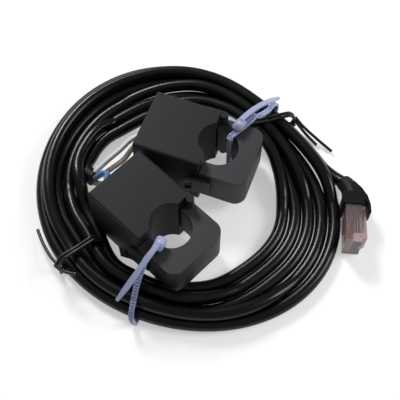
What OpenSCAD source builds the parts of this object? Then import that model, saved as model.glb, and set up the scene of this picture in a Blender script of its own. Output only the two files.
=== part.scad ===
// Pair of split-core current transformers wired to one round data cable.
// Each transformer has a fixed housing and a cap that swings open on a vertical hinge,
// with half of a ferrite core in each, so it can be clipped round a conductor.
// The cable lies in a hand-wound coil held by ties and ends in an 8-way modular plug.
// Origin: centre of the two transformers on the table. +Z up, millimetres.

/* [Housing] */
// Width across the housing, latch side to hinge side
body_w = 27.8; // [26:0.1:30]
// Length of the housing from its rear cover to its front face
housing_l = 27.6; // [26:0.1:30]
// Height of the housing
housing_h = 27; // [25.5:0.1:29]
// Wall thickness of housing and cap
wall = 1.6; // [1.2:0.1:1.7]
// Rounding of the long edges of the housing
edge_r = 1.3; // [0.6:0.1:1.5]
// Thickness of the rear cover
cover_t = 2; // [1.5:0.1:3]

/* [Cap] */
// Length of the cap beyond the split
cap_l = 18.8; // [18.4:0.1:21]
// How far the cap's flat face lies below the housing's, above and below
cap_step = 5.5; // [4.8:0.1:6]
// Rounding of the cap's two end corners
cap_corner_r = 5; // [2:0.5:6]
// Gap between the housing and the closed cap
split_gap = 0.4; // [0.3:0.05:0.6]
// Depth of the small slits in the cap's end wall
slit_depth = 0.7; // [0.3:0.1:1]

/* [Window] */
// Diameter of the window for the conductor
window_d = 16.2; // [15:0.1:16.6]
// Distance of the window's centre beyond the housing's front face
window_offset = 3.7; // [3:0.1:4.2]

/* [Hinge] */
// Radius of the hinge ears
ear_r = 1.75; // [1.6:0.05:2]
// Thickness of each hinge ear
ear_t = 2; // [1.6:0.1:2.6]
// Diameter of the hinge pins
pin_d = 1.5; // [1.2:0.1:1.6]
// Radial running clearance of a pin in the cap's knuckle
pin_clear = 0.05; // [0.02:0.01:0.1]

/* [Latch] */
// Thickness of the latch arm
latch_t = 1.3; // [1:0.1:1.6]
// Width of the latch arm
latch_w = 9; // [7:0.5:9]
// How far the latch arm reaches back over the housing
latch_reach = 6; // [5:0.5:8]
// Gap between the latch arm and the housing's wall
latch_gap = 0.3; // [0.25:0.05:0.5]
// How far the lip of the latch arm stands out from the housing's side
latch_flare = 4.2; // [3:0.1:4.4]

/* [Core and winding] */
// Height of the ferrite core
core_h = 10; // [8:0.5:11]
// Room between the core's side limbs and the walls beside them
core_room = 0.3; // [0.2:0.05:0.5]
// Thickness of the core's rear and end limbs
yoke_t = 3; // [2.4:0.1:3.1]
// Plastic left between the window and the core
window_wall = 1.1; // [0.9:0.1:1.2]
// Play round the core in its pocket
core_clear = 0.1; // [0.05:0.05:0.2]
// Wall thickness of the bobbin
bobbin_t = 0.8; // [0.6:0.1:1]
// Height of the bobbin's flanges above its tube
flange_h = 3.4; // [2.5:0.1:3.6]

/* [Leads] */
// Diameter of the insulated leads
lead_d = 2.2; // [1.6:0.1:2.4]
// Diameter of the cable jacket
cable_d = 5.2; // [4.8:0.1:5.2]
// Outer diameter of the sleeve over the end of the jacket
sleeve_d = 6.8; // [6.4:0.1:7.2]

/* [Ties] */
// Width of the zip tie straps
strap_w = 2.5; // [2:0.1:3]
// Thickness of the zip tie straps
strap_t = 1; // [0.8:0.1:1.1]
// Diameter of the twist ties
twist_d = 1.3; // [1:0.1:1.6]

/* [Plug] */
// Length of the modular plug
plug_l = 21.5; // [20:0.1:23]
// Width across the plug's eight contacts
plug_w = 11.7; // [11:0.1:12]
// Thickness of the plug's body without the latch lever
plug_t = 6.6; // [6:0.1:7]
// Wall thickness of the boot round the plug
boot_t = 0.8; // [0.6:0.1:1]

/* [Hidden] */
eps = 0.01;

// Where the two transformers stand: rear centre of each housing and its heading
place_a = [-13.1, 26.4, -20.4];
place_b = [-24.4, 1.2, -44.4];

function spot(p, x, y) = [p[0] + cos(p[2]) * x - sin(p[2]) * y, p[1] + sin(p[2]) * x + cos(p[2]) * y];

// ---- Transformer layout, x from the rear cover to the cap's end, y towards the hinge
half_w = body_w / 2;
mid_z = housing_h / 2;
split_x = housing_l + split_gap;
cap_end = split_x + cap_l;
cap_h = housing_h - 2 * cap_step;
window_x = housing_l + window_offset;
window_r = window_d / 2;
limb_y = window_r + window_wall;
limb_t = half_w - wall - core_room - limb_y;
pin_x = housing_l + ear_r;
pin_y = half_w - ear_r;
knuckle_r = ear_r - 0.15;
yoke_x = 9;
corner_swing = norm([cap_end - cap_corner_r - pin_x, half_w - cap_corner_r + pin_y]) + cap_corner_r;
lip_swing = norm([pin_x - split_x + latch_reach + 1.4, half_w + latch_flare + pin_y]);
swing_r = max(corner_swing, lip_swing);
core_meet = split_x - 0.15;
core_end = window_x + window_r + window_wall + yoke_t;
spring_room = cap_end - wall - core_end;
cover_seat = cover_t + 0.1;

// ---- Coil of cable: its outer edge and the pitch of its turns at each heading
coil_c = [3.6, 6.6];
coil_mean = 61.9;
turns = 5;
function coil_out(a) = coil_mean + 1.1 * cos(a + 156) + 4.35 * cos(2 * (a + 44)) + 1.3 * cos(3 * (a + 25));
function coil_pitch(a) = max(0.5 * cable_d, 3.65 + 0.95 * cos(2 * (a + 38)) + 0.6 * cos(a + 48));
function ramp(a, lo, hi) = max(0, min(1, (a - lo) / (hi - lo)));
function extra_turn(a) = ramp(a, -70, 0) * (1 - ramp(a, 150, 170));
function coil_in(a) = coil_out(a) - (turns - 1 + extra_turn(a)) * coil_pitch(a) - cable_d;
function polar(r, a) = coil_c + r * [cos(a), sin(a)];
coil_step = 6;
coil_h = 1.87 * cable_d;

// ---- Routes of the leads and the cable's ends
leads_out = [-0.7, -2, mid_z - 1];
function exit_at(p, dx, dz) = concat(spot(p, leads_out[0] - dx, leads_out[1]), [leads_out[2] + dz]);
lead_a_white_route = [exit_at(place_a, 0, 2), exit_at(place_a, 2, 2), [-20, 24, 13.6],
    [-24.2, 20.2, 12], [-28.8, 16.8, 10.2], [-32.8, 14.2, 7.6], [-35.6, 12.6, 5.4]];
lead_a_cream_route = [exit_at(place_a, 0, -2), exit_at(place_a, 1.8, -2), [-19.2, 22.6, 10],
    [-22.6, 17.6, 9.2], [-27, 14.6, 7.6], [-31.4, 12.6, 5.4], [-35.2, 11.8, 3]];
lead_b_blue_route = [exit_at(place_b, 0, 2), exit_at(place_b, 1.8, 2), [-29, 5.4, 13.6],
    [-28.8, 8.8, 11.8], [-30.8, 10.8, 9.4], [-33.2, 10.8, 7], [-34.9, 10.4, 5.6]];
lead_b_cream_route = [exit_at(place_b, 0, -2), exit_at(place_b, 2.2, -2.4), [-30, 5, 7.4],
    [-31.2, 7.6, 5.4], [-33, 9, 3.8], [-34.8, 9.4, 2.8]];
tail_route = [[-35.4, 11.1, 4.2], [-37.2, 12.8, 3.9], [-38.6, 14, 3.7]];
lead_out_route = [[62.3, 14.9, 2.7], [65.2, 11.8, 3.4], [68.4, 8.8, 4.6]];
plug_route = [[68.4, 8.8, 4.6], [69.5, 6.6, 5.7], [70.2, 4.4, 6.4], [70.5, 2, 6.8], [70.5, -0.4, 6.8]];
plug_place = [70.5, -0.4, -95];
plug_z = 1;

// ---- Small helpers
function unit(v) = v / norm(v);
function along(p, i) = unit(p[min(i + 1, len(p) - 1)] - p[max(i - 1, 0)]);
function hoop(c, t, r, n) = let (s = unit(cross(t, [0, 0, 1])), u = cross(s, t))
    [for (k = [0:n - 1]) c + r * (cos(360 * k / n) * s + sin(360 * k / n) * u)];
function spline(p, i, t) = let (
        a = p[max(i - 1, 0)], b = p[i], c = p[i + 1], d = p[min(i + 2, len(p) - 1)])
    0.5 * (2 * b + (c - a) * t + (2 * a - 5 * b + 4 * c - d) * t * t
        + (3 * b - a - 3 * c + d) * t * t * t);
function smooth(p, m) = concat([for (i = [0:len(p) - 2]) for (k = [0:m - 1]) spline(p, i, k / m)],
    [p[len(p) - 1]]);

// Tube swept along a route, with a radius for its start and one for its end
module tube(route, d, d_end = 0, sides = 10, steps = 2) {
    p = smooth(route, steps);
    n = len(p);
    last = d_end == 0 ? d : d_end;
    points = [for (i = [0:n - 1]) each hoop(p[i], along(p, i), (d + (last - d) * i / (n - 1)) / 2, sides)];
    walls = [for (i = [0:n - 2]) for (k = [0:sides - 1]) let (q = (k + 1) % sides)
        each [[i * sides + k, i * sides + q, (i + 1) * sides + q],
              [i * sides + k, (i + 1) * sides + q, (i + 1) * sides + k]]];
    start = [for (k = [sides - 1:-1:0]) k];
    end = [for (k = [0:sides - 1]) (n - 1) * sides + k];
    polyhedron(points = points, faces = concat([start], walls, [end]), convexity = 8);
}

// Rectangle with four rounded corners, centred
module rounded(w, h, r) {
    square([w - 2 * r, h], center = true);
    square([w, h - 2 * r], center = true);
    for (x = [-1, 1], y = [-1, 1]) translate([x * (w / 2 - r), y * (h / 2 - r)]) circle(r, $fn = 48);
}

// Block between two corners
module block(lo, hi) {
    translate(lo) cube(hi - lo);
}

module place(p) {
    translate([p[0], p[1], 0]) rotate(p[2]) children();
}

module window(r = window_r) {
    translate([window_x, 0, -1]) cylinder(r = r, h = housing_h + 2, $fn = 96);
}

module at_ends() {
    children();
    translate([0, 0, housing_h]) mirror([0, 0, 1]) children();
}

// ---- Fixed half
module ear() {
    difference() {
        union() {
            translate([pin_x, pin_y, 0]) cylinder(r = knuckle_r, h = ear_t, $fn = 48);
            block([housing_l - 1, half_w - edge_r, 0], [pin_x, half_w - 0.15, ear_t]);
        }
        translate([pin_x, pin_y, 0.8]) cylinder(d = pin_d, h = ear_t, $fn = 32);
    }
}

module housing() {
    color("#2c2d2f") {
        difference() {
            union() {
                translate([0, 0, mid_z]) rotate([90, 0, 90])
                    linear_extrude(housing_l) rounded(body_w, housing_h, edge_r);
                // Catch for the latch arm
                block([housing_l - 4.2, -half_w - latch_gap - 0.3, mid_z - latch_w / 5],
                    [housing_l - 2.4, -half_w + 1, mid_z + latch_w / 5]);
            }
            difference() {
                block([-1, -half_w + wall, wall], [housing_l - wall, half_w - wall, housing_h - wall]);
                window(window_r + window_wall);
            }
            // Seat of the rear cover
            block([-1, -half_w + wall / 2, wall / 2], [cover_t, half_w - wall / 2, housing_h - wall / 2]);
            window();
            for (y = [-1, 1]) block(
                [housing_l - wall - 1, y * (limb_y + limb_t / 2) - limb_t / 2 - core_clear, mid_z - core_h / 2 - core_clear],
                [housing_l + 1, y * (limb_y + limb_t / 2) + limb_t / 2 + core_clear, mid_z + core_h / 2 + core_clear]);
        }
        at_ends() ear();
    }
}

module rear_cover() {
    play = 0.1;
    color("#262729") difference() {
        union() {
            block([0, -half_w + wall / 2 + play, wall / 2 + play],
                [cover_t, half_w - wall / 2 - play, housing_h - wall / 2 - play]);
            // Boss that the two leads come out of
            translate([leads_out[0] + 0.1, leads_out[1], leads_out[2]]) rotate([0, 90, 0]) linear_extrude(cover_t + 1)
                rounded(2 * lead_d + 5, lead_d + 1.8, 1.4);
            // Ribs that hold the bobbin
            for (y = [-1, 1]) block([cover_t - eps, y * 7 - 1, mid_z - 3], [bobbin_lo - 0.05, y * 7 + 1, mid_z + 3]);
        }
        for (z = [-2, 2]) translate([-2, leads_out[1], leads_out[2] + z]) rotate([0, 90, 0])
            cylinder(d = lead_d - 0.6, h = cover_t + 5, $fn = 24);
    }
}

// U-shaped half core, open towards +x or -x
module half_core(yoke, meet) {
    lo = min(yoke, meet);
    hi = max(yoke + yoke_t, meet);
    out = limb_y + limb_t;
    color("#4a4b4e") difference() {
        block([lo, -out, mid_z - core_h / 2], [hi, out, mid_z + core_h / 2]);
        block([meet > yoke ? yoke + yoke_t : lo - 1, -limb_y, 0], [meet > yoke ? hi + 1 : yoke, limb_y, housing_h]);
    }
}

bobbin_len = 2 * limb_y - 0.4;
bobbin_lo = yoke_x - core_clear - bobbin_t - flange_h;
bobbin_hi = yoke_x + yoke_t + core_clear + bobbin_t + flange_h;

module round_yoke(grow, y0, y1) {
    block([yoke_x - grow, y0, mid_z - core_h / 2 - grow],
        [yoke_x + yoke_t + grow, y1, mid_z + core_h / 2 + grow]);
}

module bobbin() {
    color("#d9d6cc") difference() {
        union() {
            round_yoke(core_clear + bobbin_t, -bobbin_len / 2, bobbin_len / 2);
            for (y = [-1, 1]) translate([0, y * (bobbin_len - bobbin_t) / 2, 0])
                round_yoke(core_clear + bobbin_t + flange_h, -bobbin_t / 2, bobbin_t / 2);
        }
        round_yoke(core_clear, -body_w, body_w);
    }
}

module winding() {
    reach = bobbin_len / 2 - bobbin_t - 0.1;
    color("#b5622f") difference() {
        round_yoke(core_clear + bobbin_t + flange_h - 0.6, -reach, reach);
        round_yoke(core_clear + bobbin_t + 0.05, -body_w, body_w);
    }
}

module hinge_pins() {
    color("#8d9094") at_ends() translate([pin_x, pin_y, 0.85])
        cylinder(d = pin_d - 0.02, h = cap_step - 0.85 + 1.4, $fn = 32);
}

// ---- Moving half
// The cap's outline seen from above, with its window open towards the housing
module cap_outline() {
    end = cap_end - cap_corner_r;
    difference() {
        union() {
            translate([split_x, -half_w]) square([end - split_x, body_w]);
            translate([split_x, -half_w + cap_corner_r]) square([cap_l, body_w - 2 * cap_corner_r]);
            for (y = [-1, 1]) translate([end, y * (half_w - cap_corner_r)]) circle(cap_corner_r, $fn = 72);
        }
        translate([split_x - 1, pin_y]) square([pin_x - split_x + 1, ear_r + 1]);
    }
    translate([pin_x, pin_y]) circle(knuckle_r, $fn = 48);
}

module latch_arm() {
    side = -half_w;
    difference() {
        translate([0, 0, mid_z - latch_w / 2]) linear_extrude(latch_w) polygon([
            [split_x + 5, side + 1], [split_x + 5, side - latch_t + 0.2], [split_x - 0.5, side - latch_gap - latch_t],
            [split_x - 3.5, side - latch_gap - latch_t - 0.8], [split_x - latch_reach - 1, side - latch_flare],
            [split_x - latch_reach - 1.4, side - latch_flare + latch_t], [split_x - 3.8, side - latch_gap - 0.8],
            [split_x - 0.6, side - latch_gap], [split_x + 0.3, side - latch_gap], [split_x + 0.3, side + 1]]);
        // Opening that the catch sits in
        block([housing_l - 4.6, side - latch_flare - 1, mid_z - latch_w / 5 - 0.4],
            [housing_l - 2, side + 0.5, mid_z + latch_w / 5 + 0.4]);
    }
}

module cap() {
    z0 = cap_step;
    z1 = housing_h - cap_step;
    core_z0 = mid_z - core_h / 2 - core_clear;
    core_z1 = mid_z + core_h / 2 + core_clear;
    pocket_y = limb_y + limb_t + core_clear;
    color("#323335") difference() {
        union() {
            translate([0, 0, z0]) linear_extrude(cap_h) cap_outline();
            latch_arm();
            translate([pin_x, pin_y, ear_t + 0.2]) cylinder(r = knuckle_r, h = housing_h - 2 * ear_t - 0.4, $fn = 48);
        }
        // Pocket of the core, round the wall of the window
        difference() {
            block([split_x - 1, -pocket_y, core_z0], [cap_end - wall, pocket_y, core_z1]);
            block([split_x - 2, -limb_y + core_clear, core_z0 - 1],
                [window_x + window_r + window_wall - core_clear, limb_y - core_clear, core_z1 + 1]);
        }
        window();
        block([split_x - 5, -window_r, -1], [window_x, window_r, housing_h + 1]);
        // Pin holes above and below the core
        translate([pin_x, pin_y, -1]) cylinder(d = pin_d + 2 * pin_clear, h = cap_step + 2.8, $fn = 32);
        translate([pin_x, pin_y, housing_h - cap_step - 1.8]) cylinder(d = pin_d + 2 * pin_clear, h = cap_step + 2.8, $fn = 32);
        // Slits and notches in the end wall
        for (s = [[0.3, mid_z - 1], [6.1, mid_z - 6.5]]) block([cap_end - slit_depth, s[0] - 1.1, s[1] - 0.35], [cap_end + 1, s[0] + 1.1, s[1] + 0.35]);
        for (y = [-6.1, 6.1]) block([cap_end - slit_depth, y - 0.6, z1 - 2.4], [cap_end + 1, y + 0.6, z1 - 1.6]);
    }
}

// Bowed leaf spring between the core and the end wall of the cap
module core_spring() {
    leaf = 0.4;
    bow = spring_room - leaf - 0.1;
    n = 12;
    half = limb_y - 1;
    line = [for (i = [0:n]) let (y = -half + 2 * half * i / n) [core_end + 0.05 + bow * (1 - pow(y / half, 2)), y]];
    color("#b9bcc0") translate([0, 0, mid_z - core_h / 2 + 1.5]) linear_extrude(core_h - 3)
        polygon(concat(line, [for (i = [n:-1:0]) line[i] + [leaf, 0]]));
}

module transformer_part(place_of, part) {
    place(place_of) {
        if (part == "housing") housing();
        if (part == "rear_cover") rear_cover();
        if (part == "fixed_core") half_core(yoke_x, core_meet - 0.1);
        if (part == "bobbin") bobbin();
        if (part == "winding") winding();
        if (part == "hinge_pins") hinge_pins();
        if (part == "cap") cap();
        if (part == "moving_core") half_core(core_end - yoke_t, core_meet);
        if (part == "core_spring") core_spring();
    }
}

// ---- Leads and cable
module lead(route, shade) {
    color(shade) tube(route, lead_d, sides = 8);
}

module jacket_sleeve() {
    color("#1c1c1d") tube(tail_route, sleeve_d, steps = 1);
}

// Outer shape of the wound turns: a flat ring, with a second layer where they are pressed together
module cable_coil() {
    angles = [0:coil_step:360 - coil_step];
    outer = [for (a = angles) polar(coil_out(a), a)];
    inner = [for (a = angles) polar(coil_in(a > 180 ? a - 360 : a), a)];
    layer_out = [for (a = angles) polar(coil_out(a) - coil_pitch(a), a)];
    layer_in = [for (a = angles) polar(coil_in(a > 180 ? a - 360 : a) + coil_pitch(a), a)];
    color("#131314") difference() {
        union() {
            linear_extrude(cable_d) difference() {
                polygon(outer);
                polygon(inner);
            }
            translate([0, 0, cable_d - eps]) linear_extrude(coil_h - cable_d) difference() {
                polygon(layer_out);
                polygon(layer_in);
                // The turns lie flat in one layer here
                translate(coil_c) rotate(-27) polygon([[0, 0], [90, -63], [90, 63]]);
                // Room for the swing of the lower transformer's cap
                translate(spot(place_b, pin_x, pin_y)) circle(swing_r + 0.5, $fn = 96);
            }
        }
        // Room for the straps that pass below the turns
        tie_plane(tie_a) block([tie_a_in - 3, -0.3, -strap_w / 2 - 0.3], [tie_a_out + 3, strap_t + 0.5, strap_w / 2 + 0.3]);
        tie_plane(tie_b) block([tie_b_in - 3, -0.3, -strap_w / 2 - 0.3], [tie_b_out + 3, strap_t + 0.5, strap_w / 2 + 0.3]);
        tie_plane(twist_l) block([-20, -0.3, -twist_d - 0.3], [40, twist_d + 0.5, twist_d + 0.3]);
        tie_plane(twist_r) block([-20, -0.3, -twist_d - 0.3], [40, twist_d + twist_lift + 0.3, twist_d + 0.3]);
    }
}

module plug_lead() {
    color("#131314") tube(lead_out_route, cable_d, steps = 2);
}

// ---- Plug, lying on its narrow side with the latch lever away from the coil
module at_plug() {
    translate([0, 0, plug_z]) place(plug_place) children();
}

module plug_boot() {
    grip = 5;
    color("#171718") {
        difference() {
            union() {
                tube(plug_route, cable_d + 1.6, plug_t + 1.6, steps = 2, sides = 12);
                at_plug() block([-0.5, -plug_t / 2 - boot_t, -boot_t], [grip, plug_t / 2 + boot_t, plug_w + boot_t]);
            }
            at_plug() block([0, -plug_t / 2 - 0.05, -0.05], [grip + 1, plug_t / 2 + 0.05, plug_w + 0.05]);
            tube(plug_route, cable_d, steps = 2);
        }
        // Hood over the end of the latch lever
        at_plug() translate([0, 0, 3]) linear_extrude(plug_w - 6)
            polygon([[-7.5, 0.6], [-4.6, 3.6], [-1, 6], [3, 7.2], [6.4, 7.4], [7.6, 6.6], [7.4, 5.6],
                [6, 5.9], [3, 5.8], [0, 4.8], [-1.2, 4.1], [-1.2, 3.6], [-3.4, 1.4]]);
    }
}

module plug_body() {
    half = plug_t / 2;
    pitch = 1.02;
    color("#d8d4d6", 0.6) at_plug() difference() {
        union() {
            block([0.05, -half, 0], [plug_l, half, plug_w]);
            // Latch lever, rooted at the nose
            translate([0, 0, 3.2]) linear_extrude(plug_w - 6.4) polygon([[plug_l - 1, half - 0.5],
                [plug_l - 1.6, half + 1.6], [plug_l - 3.4, half + 2.4], [8.4, half + 1.9], [4, half + 1.5],
                [4, half + 0.7], [8.4, half + 1], [plug_l - 5.6, half + 1.3], [plug_l - 4.8, half - 0.5]]);
            translate([0, 0, 1.4]) linear_extrude(plug_w - 2.8)
                polygon([[plug_l - 1, half - 0.1], [plug_l - 2.4, half + 1.5], [plug_l - 5, half + 1.5], [plug_l - 5, half - 0.1]]);
        }
        // Cable entry, conductor channel and contact slots
        block([-1, -2.7, 1.4], [11, 1.6, plug_w - 1.4]);
        block([10, -1.6, 1.8], [plug_l - 1.4, -0.2, plug_w - 1.8]);
        for (k = [-3.5:3.5]) translate([plug_l - 6.4, -half - 1, plug_w / 2 + k * pitch - 0.28])
            cube([5.2, 3.4, 0.56]);
    }
}

module plug_contacts() {
    pitch = 1.02;
    color("#caa24a") at_plug() for (k = [-3.5:3.5])
        translate([plug_l - 6.2, -plug_t / 2 + 0.35, plug_w / 2 + k * pitch - 0.2]) cube([4.8, 2, 0.4]);
}

// ---- Ties. Each loop lies in a vertical plane: [x, y of its start, heading]
strand_a = [34.2, 5.9];
strand_b = [32.8, -6.3];
tie_a = concat(spot(place_a, strand_a[0], strand_a[1]), [51.5]);
tie_b = concat(spot(place_b, strand_b[0], strand_b[1]), [-114]);
tie_a_in = 15;
tie_a_out = 35.6;
tie_b_in = 7;
tie_b_out = 26.8;
twist_lift = strap_t + 0.3;
twist_l = [-32.6, -19, -144];
twist_r = [34.6, 36, 14];

module tie_plane(p) {
    translate([p[0], p[1], 0]) rotate([90, 0, p[2]]) children();
}

// Closed loop of strap: rounded outline points, offset inwards by its thickness
function turn_in(p, t) = let (n = len(p)) [for (i = [0:n - 1])
    let (d = unit(p[(i + 1) % n] - p[(i + n - 1) % n])) p[i] + t * [-d[1], d[0]]];
module loop(points, t, w) {
    inner = turn_in(points, t);
    linear_extrude(w, center = true) difference() {
        polygon(points);
        polygon(inner);
    }
}

// Open strip of strap along a line of points, tapering at its end
module strip(points, t, w) {
    back = turn_in(points, t);
    n = len(points);
    linear_extrude(w, center = true)
        polygon(concat([for (i = [0:n - 2]) points[i]], [for (i = [n - 2:-1:1]) back[i]], [points[0] + [0, t]]));
}

// Loop up through the window, over the cap's arm, round the turns and back below them
module zip_tie(plane, edge, far, top, head_s, arch) {
    shoulder = coil_h + strap_t + 0.6;
    slope = (top + 1 - shoulder) / (far - 3 - edge);
    color("#e8ecf6") tie_plane(plane) {
        loop([[-0.5, 2.2], [0.3, 0.5], [1.8, 0.05], [far - 1.6, 0.05], [far + 0.4, 1], [far + 1.3, 3],
            [far + 1.1, shoulder - 4], [far - 0.4, shoulder - 1.4], [far - 3, shoulder + 0.6],
            [edge + 12, top + 1 - 12 * slope + arch * 1.6], [edge + 7, top + 1 - 7 * slope + arch * 2],
            [edge + 3.6, top + 1 - 3.6 * slope + arch * 1.6], [edge + 1.4, top + 1.1], [edge - 1, top + 1.4], [0.8, top + 1.3],
            [-0.3, top + 0.6], [-0.55, top - 0.8]], strap_t, strap_w);
        // Ratchet head
        difference() {
            block([head_s, top + 0.3, -2.3], [head_s + 4.8, top + 4, 2.3]);
            block([head_s + 1.2, top + 1.9, -1.5], [head_s + 5, top + 3.1, 1.5]);
        }
    }
}

module zip_tail(start, heading, length, drop) {
    z0 = housing_h - cap_step + 3.3;
    n = 8;
    color("#e8ecf6") tie_plane([start[0], start[1], heading])
        strip([for (i = [0:n]) [length * i / n, z0 + 1.6 * sin(180 * i / n) - drop * pow(i / n, 1.4)]], strap_t, strap_w);
}

module zip_tie_a() {
    top = housing_h - cap_step + 0.35;
    zip_tie(tie_a, 9.6, tie_a_out, top, 3.4, 1);
    zip_tail([25.2, 26], 48, 24, 9);
}

module zip_tie_b() {
    top = housing_h - cap_step + 0.35;
    zip_tie(tie_b, 9, tie_b_out, top, -0.4, 0.3);
    zip_tail([-6.6, -28.8], -134, 23, 13);
}

module twist_tie(plane, near, far, base, ends) {
    h = coil_h + twist_d + 0.3;
    color("#1a1a1b") {
        tie_plane(plane) loop([[near - 0.6, base + 2], [near + 0.6, base + 0.2], [near + 2, base], [far - 2, base],
            [far - 0.6, base + 0.6], [far, base + 2.4], [far - 0.6, h - 3], [far - 2.4, h - 0.6], [far - 4.4, h],
            [near + 4, h], [near + 2, h - 0.8], [near, h - 3.4], [near - 0.6, 4.6]], twist_d, 2 * twist_d);
        for (e = ends) tube(e, twist_d, sides = 6);
    }
}

module twist_tie_left() {
    twist_tie(twist_l, -2.2, 17.8, 0.05, [
        [[-46.2, -28.8, 8], [-47, -30.8, 9.6], [-42.6, -34.2, 11.8], [-38.2, -35.4, 12.4]],
        [[-46.4, -29, 6], [-50, -25, 5.2], [-54.2, -17.8, 3.4], [-57, -11.5, 1.8]]]);
}

module twist_tie_right() {
    twist_tie(twist_r, -9.4, 15.8, twist_lift, [
        [[49.9, 39.8, 7], [51.6, 38.8, 5], [54.4, 36.4, 3.2], [60.2, 30.8, 2], [65.2, 26.1, 1.2]],
        [[49.8, 39.6, 5], [52.2, 36.8, 3.4], [55, 33.6, 2.2], [58.9, 29.4, 1.2]]]);
}

transformer_part(place_a, "housing");  // housing_a
transformer_part(place_a, "rear_cover");  // rear_cover_a
transformer_part(place_a, "fixed_core");  // fixed_core_a
transformer_part(place_a, "bobbin");  // bobbin_a
transformer_part(place_a, "winding");  // winding_a
transformer_part(place_a, "hinge_pins");  // hinge_pins_a
transformer_part(place_a, "cap");  // cap_a
transformer_part(place_a, "moving_core");  // moving_core_a
transformer_part(place_a, "core_spring");  // core_spring_a
lead(lead_a_white_route, "#ecebe6");  // lead_a_white
lead(lead_a_cream_route, "#e6dccb");  // lead_a_cream
transformer_part(place_b, "housing");  // housing_b
transformer_part(place_b, "rear_cover");  // rear_cover_b
transformer_part(place_b, "fixed_core");  // fixed_core_b
transformer_part(place_b, "bobbin");  // bobbin_b
transformer_part(place_b, "winding");  // winding_b
transformer_part(place_b, "hinge_pins");  // hinge_pins_b
transformer_part(place_b, "cap");  // cap_b
transformer_part(place_b, "moving_core");  // moving_core_b
transformer_part(place_b, "core_spring");  // core_spring_b
lead(lead_b_blue_route, "#5b86b4");  // lead_b_blue
lead(lead_b_cream_route, "#e6dccb");  // lead_b_cream
jacket_sleeve();
cable_coil();
plug_lead();
plug_boot();
plug_body();
plug_contacts();
zip_tie_a();
zip_tie_b();
twist_tie_left();
twist_tie_right();
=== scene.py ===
import math

import bmesh
import bpy
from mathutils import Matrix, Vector


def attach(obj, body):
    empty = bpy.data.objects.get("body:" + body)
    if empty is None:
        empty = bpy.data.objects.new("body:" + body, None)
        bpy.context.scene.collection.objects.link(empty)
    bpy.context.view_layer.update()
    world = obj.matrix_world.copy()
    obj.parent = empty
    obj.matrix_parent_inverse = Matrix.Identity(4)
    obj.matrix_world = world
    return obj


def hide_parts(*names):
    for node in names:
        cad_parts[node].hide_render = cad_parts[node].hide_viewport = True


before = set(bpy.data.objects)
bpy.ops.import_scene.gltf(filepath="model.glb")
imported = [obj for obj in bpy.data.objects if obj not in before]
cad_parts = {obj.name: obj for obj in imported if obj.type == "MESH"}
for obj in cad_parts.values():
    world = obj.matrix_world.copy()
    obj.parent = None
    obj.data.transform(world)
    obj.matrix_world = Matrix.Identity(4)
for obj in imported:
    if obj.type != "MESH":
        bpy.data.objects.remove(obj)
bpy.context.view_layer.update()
# Lengths below are in millimetres and angles in degrees; MM brings a length to Blender's metres.
# Headings turn anticlockwise from the x axis, seen from above.
MM = 0.001


# ---------------------------------------------------------------- helpers
def cos_d(angle):
    return math.cos(math.radians(angle))


def sin_d(angle):
    return math.sin(math.radians(angle))


def spot(place, along, left, z=0.0):
    """The point along and left of a place, which is (x, y, heading)."""
    x, y, heading = place
    return Vector((x + cos_d(heading) * along - sin_d(heading) * left,
                   y + sin_d(heading) * along + cos_d(heading) * left, z))


def smooth(points, steps):
    """Catmull-Rom curve through the points, with this many steps from each point to the next."""
    given = [Vector(p) for p in points]
    last = len(given) - 1
    out = []
    for i in range(last):
        a, b, c, d = given[max(i - 1, 0)], given[i], given[i + 1], given[min(i + 2, last)]
        for k in range(steps):
            t = k / steps
            out.append(0.5 * (2 * b + (c - a) * t + (2 * a - 5 * b + 4 * c - d) * t * t
                              + (3 * b - a - 3 * c + d) * t ** 3))
    out.append(given[-1])
    return out


def smooth_loop(points, steps):
    """The same curve closed into a loop; its last point repeats its first."""
    return smooth(points + points[:3], steps)[steps:-steps]


def lifted(points, lowest):
    """The points, with none of them below the lowest height."""
    return [Vector((p.x, p.y, max(p.z, lowest))) for p in points]


def point_at(obj, place, target):
    obj.location = place
    obj.rotation_euler = (target - place).to_track_quat("-Z", "Y").to_euler()


# ---------------------------------------------------------------- camera
CAMERA_PLACE = Vector((8.8, -156.0, 297.0)) * MM
CAMERA_TARGET = Vector((8.8, 3.2, 0)) * MM

cam_data = bpy.data.cameras.new("camera")
cam_data.lens = 72.9
cam_data.sensor_width = 36
cam_data.clip_start = 0.01
cam_data.clip_end = 5
camera = bpy.data.objects.new("camera", cam_data)
bpy.context.scene.collection.objects.link(camera)
point_at(camera, CAMERA_PLACE, CAMERA_TARGET)
bpy.context.scene.camera = camera
bpy.context.scene.view_settings.view_transform = "Standard"

# ---------------------------------------------------------------- materials
BEVEL_SAMPLES = 6
GRAIN_DEPTH, GRAIN_DETAIL = 0.1, 3
# The roughness strays by patches of noise, whose values lie mostly between these two.
PATCH_LOW, PATCH_HIGH, PATCH_DETAIL = 0.3, 0.7, 4


def add_node(tree, kind, values):
    """A new shader node with values for its input sockets."""
    made = tree.nodes.new("ShaderNode" + kind)
    for socket, value in values.items():
        made.inputs[socket].default_value = value
    return made


def noise(tree, scale, detail):
    texture = add_node(tree, "TexNoise", {"Scale": scale, "Detail": detail})
    tree.links.new(add_node(tree, "TexCoord", {}).outputs["Object"], texture.inputs["Vector"])
    return texture.outputs["Fac"]


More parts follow.
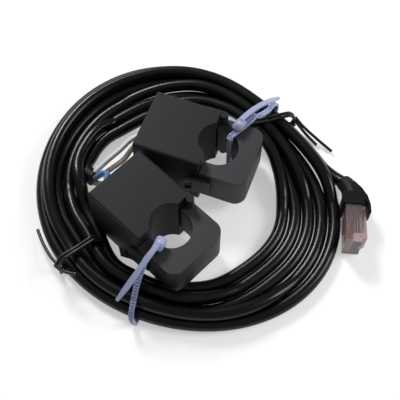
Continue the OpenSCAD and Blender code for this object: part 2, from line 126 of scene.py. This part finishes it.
def material(name, color, rough, metallic=0.0, specular=0.5, transmission=0.0, ior=1.45,
             bevel=0.0, grain=None, uneven=None):
    """bevel is the radius that edges seem to have, grain the strength and scale of a fine bump,
    and uneven how far the roughness strays and the scale of its patches."""
    made = bpy.data.materials.new(name)
    made.use_nodes = True
    tree = made.node_tree
    shader = tree.nodes["Principled BSDF"]
    for socket, value in (("Base Color", (*color, 1)), ("Roughness", rough), ("Metallic", metallic),
                          ("Specular IOR Level", specular), ("Transmission Weight", transmission),
                          ("IOR", ior)):
        shader.inputs[socket].default_value = value
    normal = None
    if bevel:
        edges = add_node(tree, "Bevel", {"Radius": bevel * MM})
        edges.samples = BEVEL_SAMPLES
        normal = edges.outputs["Normal"]
    if grain:
        strength, scale = grain
        bump = add_node(tree, "Bump", {"Strength": strength, "Distance": GRAIN_DEPTH * MM})
        tree.links.new(noise(tree, scale, GRAIN_DETAIL), bump.inputs["Height"])
        if normal:
            tree.links.new(normal, bump.inputs["Normal"])
        normal = bump.outputs["Normal"]
    if normal:
        tree.links.new(normal, shader.inputs["Normal"])
    if uneven:
        stray, scale = uneven
        spread = add_node(tree, "MapRange", {"From Min": PATCH_LOW, "From Max": PATCH_HIGH,
                                             "To Min": rough - stray, "To Max": rough + stray})
        tree.links.new(noise(tree, scale, PATCH_DETAIL), spread.inputs["Value"])
        tree.links.new(spread.outputs["Result"], shader.inputs["Roughness"])
    return made


MATERIALS = {
    "housing": material("housing_plastic", (0.013, 0.0138, 0.0158), 0.5, specular=0.2,
                        bevel=0.25, grain=(0.25, 2200), uneven=(0.04, 60)),
    "cap": material("cap_plastic", (0.025, 0.026, 0.0285), 0.48, specular=0.4,
                    bevel=0.3, grain=(0.2, 2200), uneven=(0.04, 60)),
    "ferrite": material("ferrite", (0.03, 0.03, 0.032), 0.5, metallic=0.4),
    "bobbin": material("bobbin_plastic", (0.6, 0.58, 0.5), 0.5),
    "copper": material("copper", (0.6, 0.22, 0.08), 0.35, metallic=1.0, grain=(0.6, 900)),
    "steel": material("steel", (0.45, 0.45, 0.46), 0.35, metallic=1.0),
    "white_lead": material("white_lead", (0.8, 0.82, 0.82), 0.4),
    "cream_lead": material("cream_lead", (0.72, 0.6, 0.5), 0.4),
    "blue_lead": material("blue_lead", (0.1, 0.22, 0.42), 0.4),
    "jacket": material("cable_jacket", (0.0025, 0.0028, 0.003), 0.27, specular=0.3,
                       grain=(0.12, 700), uneven=(0.05, 90)),
    "boot": material("boot_rubber", (0.004, 0.004, 0.0045), 0.5, specular=0.2, bevel=0.35),
    "clear": material("clear_plastic", (0.6, 0.46, 0.47), 0.12, transmission=0.85, ior=1.5, bevel=0.15),
    "gold": material("gold", (0.75, 0.5, 0.18), 0.3, metallic=1.0),
    "nylon": material("tie_nylon", (0.42, 0.46, 0.68), 0.3, transmission=0.25, ior=1.4),
    "wire": material("wire_insulation", (0.07, 0.05, 0.05), 0.45),
    "twist": material("twist_tie_black", (0.008, 0.008, 0.009), 0.4),
}
# The look of each node, by how its name starts.
NODE_LOOKS = {
    "housing": "housing", "rear_cover": "housing", "cap": "cap", "hinge_pins": "cap",
    "fixed_core": "ferrite", "moving_core": "ferrite", "bobbin": "bobbin", "winding": "copper",
    "core_spring": "steel", "lead_a_white": "white_lead", "lead_a_cream": "cream_lead",
    "lead_b_blue": "blue_lead", "lead_b_cream": "cream_lead", "jacket_sleeve": "boot",
    "cable_coil": "jacket", "plug_lead": "jacket", "plug_boot": "boot", "plug_body": "clear",
    "plug_contacts": "gold", "zip_tie": "nylon", "twist_tie": "twist",
}


def dress(obj, look):
    obj.data.materials.clear()
    obj.data.materials.append(MATERIALS[look])


for name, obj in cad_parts.items():
    dress(obj, next(look for start, look in NODE_LOOKS.items() if name.startswith(start)))


# ---------------------------------------------------------------- new pieces
def add_piece(name, data, look):
    """A piece made of a mesh or a curve, which rides on the base."""
    piece = bpy.data.objects.new(name, data)
    bpy.context.scene.collection.objects.link(piece)
    dress(piece, look)
    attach(piece, "base")
    return piece


def wires(name, lines, diameter, look, loops=0, sides=6):
    """One piece of round wires along the lines, of which the first few may be closed loops."""
    data = bpy.data.curves.new(name, "CURVE")
    data.dimensions = "3D"
    data.bevel_depth = diameter / 2 * MM
    data.bevel_resolution = sides
    data.use_fill_caps = True
    for i, line in enumerate(lines):
        spline = data.splines.new("POLY")
        spline.points.add(len(line) - 1)
        for point, (x, y, z) in zip(spline.points, line):
            point.co = (x * MM, y * MM, z * MM, 1)
        spline.use_cyclic_u = i < loops
        spline.use_smooth = True
    return add_piece(name, data, look)


def shape_piece(name, shape, look, rounded):
    """A piece made of a bmesh in metres; rounded shades it smooth."""
    bmesh.ops.recalc_face_normals(shape, faces=shape.faces)
    data = bpy.data.meshes.new(name)
    shape.to_mesh(data)
    shape.free()
    for face in data.polygons:
        face.use_smooth = rounded
    return add_piece(name, data, look)


# ---------------------------------------------------------------- coil of cable
CABLE = 5.2
CABLE_LOW = CABLE / 2 + 0.02
COIL_CENTRE = (3.6, 6.6)
RING_RADIUS = 61.9
# Waves in the ring's outer edge: how many per turn, their size, and how far clockwise they are turned.
RING_WAVES = ((1, 1.1, 156), (2, 4.35, 44), (3, 1.3, 25))

# How far each strand lies in from the outer edge, at headings going clockwise once round.
# Strand 0 is the last turn, which leaves for the plug; strand 5 is the first, which starts at the leads.
LAY_START = -38
LAY = [
    (LAY_START, (0, 5.5, 11, 16.5, 22, 27)),
    (-50, (0, 5.1, 10.7, 16.1, 21.4, 26.6)),
    (-60, (0, 4.1, 9.2, 14.6, 20, 25.3)),
    (-68, (0, 3.2, 7.6, 12.8, 18.2, 23.8)),
    (-76, (0, 2.7, 6.1, 11, 16.4, 22.4)),
    (-84, (0, 2.6, 5.3, 9.6, 15.2, 21)),
    (-92, (0, 2.7, 5.4, 8.4, 14.3, 19.9)),
    (-98, (0, 2.8, 5.5, 8.65, 13.5, 18.9)),
    (-104, (0, 2.9, 5.6, 9.2, 12.8, 18)),
    (-118, (0, 3, 5.9, 9.4, 12.9, 17)),
    (-130, (0, 3.2, 6.4, 9.6, 12.8, 16)),
    (-151, (0, 4.2, 8.5, 12.8, 17, 18)),
    (-166, (0, 3.7, 7.2, 12, 16.8, 17)),
    (-180, (0, 3.2, 6, 11.2, 16.4, 16.4)),
    (-188, (0, 3, 5.7, 10.9, 14.8, 16.2)),
    (-197, (0, 3, 5.7, 10.9, 14.2, 17.6)),
    (-206, (0, 3.1, 5.9, 11.1, 14.8, 18.6)),
    (-212, (0, 3.2, 6.1, 11.3, 15.2, 19.3)),
    (-218, (0, 3.3, 6.3, 11.5, 15.9, 20.4)),
    (-225, (0, 3.4, 6.5, 11.7, 16.9, 22.1)),
    (-235, (0, 3.5, 7, 12.2, 17.6, 23)),
    (-249, (0, 3.5, 7, 11.8, 16.8, 22.1)),
    (-262, (0, 3.1, 6.3, 10.4, 14.8, 19.4)),
    (-277, (0, 2.7, 5.5, 8.5, 12, 16)),
    (-290, (0.2, 2.7, 5.3, 8, 10.9, 14.2)),
    (-303, (0.4, 2.9, 5.5, 8, 10.6, 13.1)),
    (-318, (0.4, 2.9, 5.8, 8.4, 10.9, 13.3)),
    (-329, (0.2, 2.7, 6.1, 9, 11.7, 14.1)),
    (-338, (-0.2, 2.3, 6.2, 9.6, 12.7, 15.5)),
    (-345, (-0.8, 1.8, 6.1, 10.1, 13.6, 17)),
    (-352, (-1.9, 1.1, 5.9, 10.6, 14.6, 18.4)),
    (-358, (-3.5, 0.6, 5.6, 10.8, 15.4, 19.6)),
    (-364, (-5.6, 0.2, 5.4, 10.8, 16, 20.6)),
    (-374, (-9, 0, 5.4, 10.8, 16.2, 21.6)),
    (-398, (-12, 0, 5.5, 11, 16.5, 22)),
]
FIRST_STRAND = 5
# Where a strand lies on others: the strand, from and to which heading, the strands under it, and
# over how many degrees it climbs onto them. Where they lie too far aside to carry it, it comes down.
RESTS = [
    (1, -46, -398, (0, 2), 1),
    (3, -38, -178, (2, 4), 1),
    (3, -226, -398, (2, 4), 1),
    (4, -168, -226, (5,), 14),
    (4, -182, -226, (3,), 1),
    (5, -226, -398, (4,), 1),
]

# The route: two points at the sleeve, the turns from one heading to the other, and the way to the plug.
CABLE_START = [(-35.8, 11.6, 4.1), (-37.6, 12.9, 3.8)]
TURNS_FROM, TURNS_TO, TURN_STEP = -195, -2150, -5
CABLE_END = [(65.2, 11.8, 3.4), (68.4, 8.8, 4.6), (69.5, 6.6, 5.7)]


def ring_edge(heading):
    return RING_RADIUS + sum(size * cos_d(waves * (heading + turn)) for waves, size, turn in RING_WAVES)


def lay_at(heading):
    """How far in each strand lies at a heading, on a smooth curve through the rows of LAY."""
    i = next(i for i in range(len(LAY) - 1) if LAY[i][0] >= heading >= LAY[i + 1][0])
    rows = [LAY[max(i - 1, 0)], LAY[i], LAY[i + 1], LAY[min(i + 2, len(LAY) - 1)]]
    x0, x1, x2, x3 = [-row[0] for row in rows]
    t = (-heading - x1) / (x2 - x1)
    out = []
    for v0, v1, v2, v3 in zip(*(row[1] for row in rows)):
        slope1 = (v2 - v0) / (x2 - x0) * (x2 - x1)
        slope2 = (v3 - v1) / (x3 - x1) * (x2 - x1)
        out.append((2 * t ** 3 - 3 * t * t + 1) * v1 + (t ** 3 - 2 * t * t + t) * slope1
                   + (-2 * t ** 3 + 3 * t * t) * v2 + (t ** 3 - t * t) * slope2)
    return out


def height_on(apart):
    """How high a strand's centre rests above that of a strand so far beside it."""
    return math.sqrt(max(0, CABLE ** 2 - apart ** 2))


def strand_height(strand, heading, lay):
    """How high a strand lies above the floor layer."""
    height = 0
    for upper, start, end, under, climb in RESTS:
        if upper == strand and start > heading > end:
            share = min(1, (start - heading) / climb)
            height = max([height] + [share * height_on(lay[strand] - lay[other]) for other in under])
    return height


def strand_point(strand, heading):
    lay = lay_at(heading)
    centre = spot((*COIL_CENTRE, heading), ring_edge(heading) - CABLE / 2 - lay[strand], 0)
    centre.z = CABLE_LOW + strand_height(strand, heading, lay)
    return centre


def coil_turns():
    """Points of the coil, clockwise from its innermost turn to its outermost."""
    out = []
    for heading in range(TURNS_FROM, TURNS_TO - 1, TURN_STEP):
        turns, past_start = divmod(LAY_START - heading, 360)
        out.append(strand_point(FIRST_STRAND - turns, LAY_START - past_start))
    return out


route = lifted(smooth(CABLE_START + coil_turns() + CABLE_END, 2), CABLE_LOW)
cable = wires("cable", [route], CABLE, "jacket", sides=5)
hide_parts("cable_coil", "plug_lead")

# ---------------------------------------------------------------- leads and sleeve
# Each transformer's place: the middle of its back on the floor, and the heading of its length.
PLACE_A = (-13.1, 26.4, -20.4)
PLACE_B = (-24.4, 1.2, -44.4)
# Where the leads leave a transformer's gland: along and left of its place, and up.
GLAND = (-0.7, -2, 12.5)
LEAD, SLEEVE = 2.2, 6.6
SLEEVE_LINE = [(-35.2, 10.9, 4.2), (-37.2, 12.8, 3.95), (-38.8, 14.1, 3.75)]


def gland(place, out, up):
    """A point so far out of the gland and so far above its middle."""
    along, left, z = GLAND
    return spot(place, along - out, left, z + up)


LEADS = {
    "lead_a_white": ("white_lead", [
        gland(PLACE_A, -1, 2), gland(PLACE_A, 2, 2), (-20, 24, 13.6), (-24.2, 20.2, 12),
        (-28.8, 16.8, 10.2), (-32.8, 14.2, 7.6), (-35.9, 12.4, 5.2)]),
    "lead_a_cream": ("cream_lead", [
        gland(PLACE_A, -1, -2), gland(PLACE_A, 1.8, -2), (-19.2, 22.6, 10), (-22.6, 17.6, 9.2),
        (-27, 14.6, 7.6), (-31.4, 12.6, 5.4), (-35.4, 11.8, 3)]),
    "lead_b_blue": ("blue_lead", [
        gland(PLACE_B, -1, 2), gland(PLACE_B, 1.8, 2), (-29, 5.4, 13.6), (-28.8, 8.8, 11.8),
        (-30.8, 10.8, 9.4), (-33.2, 10.8, 7), (-35.1, 10.5, 5.5)]),
    "lead_b_cream": ("cream_lead", [
        gland(PLACE_B, -1, -2), gland(PLACE_B, 2.2, -2.4), (-30, 5, 7.4), (-31.2, 7.6, 5.4),
        (-33, 9, 3.8), (-35, 9.6, 2.8)]),
}

sleeve = wires("sleeve_line", [smooth(SLEEVE_LINE, 4)], SLEEVE, "boot", sides=8)
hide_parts("jacket_sleeve")
for name, (look, points) in LEADS.items():
    lead = wires(name + "_line", [smooth(points, 6)], LEAD, look, sides=4)
    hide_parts(name)

# ---------------------------------------------------------------- zip ties
TWO_LAYERS = 1.87 * CABLE
STRAP_W, STRAP_T, STRAP_STEP = 2.1, 1.0, 0.3
TOOTH_DEPTH, TOOTH_STEPS = 0.5, 4
# Heights of the straps: their underside over the caps, and their outer side over the coil.
OVER_CAP = 21.85
SHOULDER = TWO_LAYERS + STRAP_T + 0.6
HEAD_SIZE = (5.4, 3.3, 3.8)
HEAD_RAISE, HEAD_ROUND = 0.3, 0.5
TAIL_Z, TAIL_ARCH, TAIL_CURVE = 24.8, 0.6, 1.4
# The last quarter of a tail narrows by this share of its width.
TAIL_TAPER, TAIL_NARROWS = 0.25, 0.45
# A bow leans the strap sideways over this length, and grows over this height above the floor.
BOW_SPAN, BOW_HEIGHT = 30, 6


def evenly(points, step):
    """Points at an even spacing along a line of points."""
    out = [points[0]]
    left = step
    for a, b in zip(points, points[1:]):
        length = (b - a).length
        at = 0.0
        while length - at >= left:
            at += left
            out.append(a.lerp(b, at / length))
            left = step
        left -= length - at
    return out


def strap_section(half, tooth):
    """Outline across the strap: how far across and how deep, with its toothed side first."""
    return ((-half, 0), (-half * 0.66, 0), (-half * 0.6, tooth), (half * 0.6, tooth),
            (half * 0.66, 0), (half, 0), (half, STRAP_T), (-half, STRAP_T))


def strap(name, plane, outline, closed, bow):
    """Toothed strap along an outline of (along, z) points in an upright plane, bowed out of it."""
    line = [Vector((along, z, 0)) for along, z in outline]
    line = evenly(smooth_loop(line, 8) if closed else smooth(line, 8), STRAP_STEP)
    if closed:
        line = line[:-1]
    count = len(line)

    def at(i):
        return line[i % count] if closed else line[min(max(i, 0), count - 1)]

    shape = bmesh.new()
    rings = []
    for i in range(count):
        ahead = (at(i + 1) - at(i - 1)).normalized()
        inward = Vector((-ahead.y, ahead.x, 0))
        half = STRAP_W / 2
        if not closed:
            half *= 1 - TAIL_NARROWS * max(0, i / count - 1 + TAIL_TAPER) / TAIL_TAPER
        tooth = TOOTH_DEPTH if i % TOOTH_STEPS >= TOOTH_STEPS / 2 else 0
        ring = []
        for across, depth in strap_section(half, tooth):
            corner = line[i] + inward * depth
            along, z = corner.x, max(corner.y, 0)
            side = across + (bow * math.sin(math.pi * min(max(along / BOW_SPAN, 0), 1))
                             * min(1, max(0, (z - 1) / BOW_HEIGHT)))
            ring.append(shape.verts.new(spot(plane, along, -side, z) * MM))
        rings.append(ring)
    for ring, after in zip(rings, rings[1:] + rings[:1] if closed else rings[1:]):
        for k in range(len(ring)):
            following = (k + 1) % len(ring)
            shape.faces.new((ring[k], ring[following], after[following], after[k]))
    if not closed:
        shape.faces.new(rings[0])
        shape.faces.new(rings[-1][::-1])
    return shape_piece(name, shape, "nylon", False)


def loop_outline(edge, fall, far, arch):
    """Outer line of a loop: along the floor to its far side, back over the coil, from fall up to the
    cap's edge, over the cap and down through the window."""
    slope = (OVER_CAP + 1 - SHOULDER) / (fall - edge)

    def ramp(past, rise):
        return edge + past, OVER_CAP + 1 - past * slope + arch * rise

    return [(-0.5, 2.2), (0.3, 0.5), (1.8, 0.05), (far - 1.6, 0.05), (far + 0.4, 1), (far + 1.3, 3),
            (far + 1.1, SHOULDER - 4), (far - 0.4, SHOULDER - 1.4), (max(far - 3, fall), SHOULDER - 0.1),
            (fall - 0.6, SHOULDER + 0.6), ramp(12, 1.6), ramp(7, 2), ramp(3.6, 1.6),
            (edge + 1.4, OVER_CAP + 1.1), (edge - 1, OVER_CAP + 1.4),
            (0.8, OVER_CAP + 1.3), (-0.3, OVER_CAP + 0.6), (-0.55, OVER_CAP - 0.8)]


def tail_outline(length, drop):
    shares = [i / 8 for i in range(9)]
    return [(length * share, TAIL_Z + TAIL_ARCH * math.sin(math.pi * share) - drop * share ** TAIL_CURVE)
            for share in shares]


def head(name, plane, start):
    """Ratchet head, a block with rounded edges round the strap."""
    shape = bmesh.new()
    bmesh.ops.create_cube(shape, size=1)
    length, height, width = HEAD_SIZE
    middle = Vector((start + length / 2, OVER_CAP + HEAD_RAISE + height / 2, 0))
    for corner in shape.verts:
        corner.co = middle + Vector((corner.co.x * length, corner.co.y * height, corner.co.z * width))
    bmesh.ops.bevel(shape, geom=shape.edges[:], offset=HEAD_ROUND, segments=3, affect="EDGES")
    for corner in shape.verts:
        along, z, across = corner.co
        corner.co = spot(plane, along, -across, z) * MM
    return shape_piece(name, shape, "nylon", True)


def window_plane(place, along, left, heading):
    """Upright plane of a tie, which starts in a transformer's window."""
    return (*spot(place, along, left).xy, heading)


# Each tie has a loop, a head at a distance along it, and a tail in a plane of its own.
ZIP_TIES = {
    "zip_tie_a": dict(plane=window_plane(PLACE_A, 34.2, 5.9, 51.5), bow=2.0, head_at=3.1,
                      loop=loop_outline(edge=13.2, fall=27.4, far=33, arch=0.1),
                      tail_plane=(25.2, 26, 47), tail=tail_outline(length=25.2, drop=11), tail_bow=-0.5),
    "zip_tie_b": dict(plane=window_plane(PLACE_B, 32.8, -6.3, -114), bow=2.6, head_at=-0.7,
                      loop=loop_outline(edge=9, fall=22.8, far=26.8, arch=0.3),
                      tail_plane=(-6.6, -28.8, -134), tail=tail_outline(length=23, drop=13), tail_bow=-1.0),
}
tie_pieces = []
for name, tie in ZIP_TIES.items():
    band = strap(name + "_band", tie["plane"], tie["loop"], True, tie["bow"])
    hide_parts(name)
    tie_pieces += [band, head(name + "_head", tie["plane"], tie["head_at"]),
                   strap(name + "_tail", tie["tail_plane"], tie["tail"], False, tie["tail_bow"])]

# ---------------------------------------------------------------- twist ties
TWIST = 1.3
TWIST_TOP = TWO_LAYERS + 0.3 + TWIST / 2
# Each tie goes twice round the coil: where its plane stands, from where to where it reaches along
# it, and how high its underside is. Its two ends are lines of their own.
TWIST_TIES = {
    "twist_tie_left": dict(
        place=(-32.6, -19, -144), near=-2.2, far=17.8, base=0.05,
        ends=[[(-46.2, -28.8, 8), (-47, -30.8, 9.6), (-42.6, -34.2, 11.8), (-38.2, -35.4, 12.4)],
              [(-46.4, -29, 6), (-50, -25, 5.2), (-54.2, -17.8, 3.4), (-57, -11.5, 1.8)]]),
    "twist_tie_right": dict(
        place=(34.6, 36, 14), near=-9.4, far=15.8, base=1.3,
        ends=[[(49.9, 39.8, 7), (51.6, 38.8, 5), (54.4, 36.4, 3.2), (60.2, 30.8, 2), (65.2, 26.1, 1.2)],
              [(49.8, 39.6, 5), (52.2, 36.8, 3.4), (55, 33.6, 2.2), (58.9, 29.4, 1.2)]]),
}


def twist_loop(place, near, far, base, across, sag):
    low, top = base + TWIST / 2, TWIST_TOP
    line = [(near - 0.1, low + 1.6), (near + 0.8, low + 0.2), (near + 2, low), (far - 2, low),
            (far - 1, low + 0.6), (far - 0.5, low + 2.4), (far - 1, top - 3), (far - 2.6, top - 0.7),
            (far - 4.6, top - 0.1), ((near + far) / 2, top - sag), (near + 4, top - 0.1),
            (near + 2.2, top - 0.9), (near + 0.6, top - 3.4), (near, low + 4.4)]
    loop = smooth_loop([spot(place, along, -across, z) for along, z in line], 5)
    return lifted(loop[:-1], low)


for name, tie in TWIST_TIES.items():
    loops = [twist_loop(tie["place"], tie["near"] + shift, tie["far"], tie["base"], across, sag)
             for shift, across, sag in ((0, -0.75, 0.2), (0.2, 0.75, 0.6))]
    ends = [smooth(end, 6) for end in tie["ends"]]
    twisted = wires(name + "_wires", loops + ends, TWIST, "twist", loops=2, sides=3)
    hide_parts(name)
    tie_pieces.append(twisted)

# ---------------------------------------------------------------- wires inside the plug
PLUG_PLACE = (70.5, -0.4, -95)
WIRE, WIRE_PITCH, WIRE_COUNT = 0.8, 1.02, 8
WIRE_Z, WIRE_FALL = 6.2, 0.04
# How far along the plug, and what share of their full pitch the wires have spread there.
WIRE_SPREAD = ((1.2, 0.35), (4, 0.5), (7.5, 0.95), (10, 1), (15.5, 1))


def plug_wire(i):
    across = WIRE_PITCH * (i - (WIRE_COUNT - 1) / 2)
    return [spot(PLUG_PLACE, along, -across * share, WIRE_Z - WIRE_FALL * along)
            for along, share in WIRE_SPREAD]


plug_wires = wires("plug_wires", [plug_wire(i) for i in range(WIRE_COUNT)], WIRE, "wire", sides=3)

# ---------------------------------------------------------------- floor
FLOOR_SIZE, FLOOR_DROP = 3, 0.0001
# Diffuse rays meet a pale floor. Camera, glossy and transmission rays meet a darker one with a
# glow, and the two add up to white.
FLOOR_PALE, FLOOR_SEEN, FLOOR_GLOW = 0.85, 0.62, 0.42


def math_node(tree, operation, first, second):
    """A Math node; each of its two values is a socket or a number."""
    made = tree.nodes.new("ShaderNodeMath")
    made.operation = operation
    for socket, value in zip(made.inputs, (first, second)):
        if isinstance(value, (int, float)):
            socket.default_value = value
        else:
            tree.links.new(value, socket)
    return made.outputs["Value"]


def floor_material():
    made = bpy.data.materials.new("floor")
    made.use_nodes = True
    tree = made.node_tree
    shader = tree.nodes["Principled BSDF"]
    ray = tree.nodes.new("ShaderNodeLightPath").outputs
    indirect = math_node(tree, "MAXIMUM", ray["Is Glossy Ray"], ray["Is Transmission Ray"])
    seen = math_node(tree, "MAXIMUM", ray["Is Camera Ray"], indirect)
    tone = add_node(tree, "MapRange", {"To Min": FLOOR_PALE, "To Max": FLOOR_SEEN})
    tree.links.new(seen, tone.inputs["Value"])
    tree.links.new(tone.outputs["Result"], shader.inputs["Base Color"])
    shader.inputs["Emission Color"].default_value = (1, 1, 1, 1)
    tree.links.new(math_node(tree, "MULTIPLY", seen, FLOOR_GLOW), shader.inputs["Emission Strength"])
    shader.inputs["Roughness"].default_value = 0.9
    shader.inputs["Specular IOR Level"].default_value = 0.1
    return made


bpy.ops.mesh.primitive_plane_add(size=FLOOR_SIZE, location=(0, 0, -FLOOR_DROP))
floor = bpy.context.object
floor.name = "floor"
floor.data.materials.append(floor_material())

# ---------------------------------------------------------------- light
# Places and sizes in metres, powers in watts.
LAMPS = {
    "key": ((-0.28, 0.55, 0.55), 0.22, 5.2),
    "fill": ((0.85, 0.05, 0.6), 0.4, 5.6),
}
WORLD_STRENGTH = 0.3

world = bpy.data.worlds.new("world")
bpy.context.scene.world = world
world.use_nodes = True
background = world.node_tree.nodes["Background"]
background.inputs["Color"].default_value = (1, 1, 1, 1)
background.inputs["Strength"].default_value = WORLD_STRENGTH

for name, (place, side, power) in LAMPS.items():
    data = bpy.data.lights.new(name, "AREA")
    data.shape = "SQUARE"
    data.size = side
    data.energy = power
    lamp = bpy.data.objects.new(name, data)
    bpy.context.scene.collection.objects.link(lamp)
    point_at(lamp, Vector(place), Vector((0, 0, 0)))
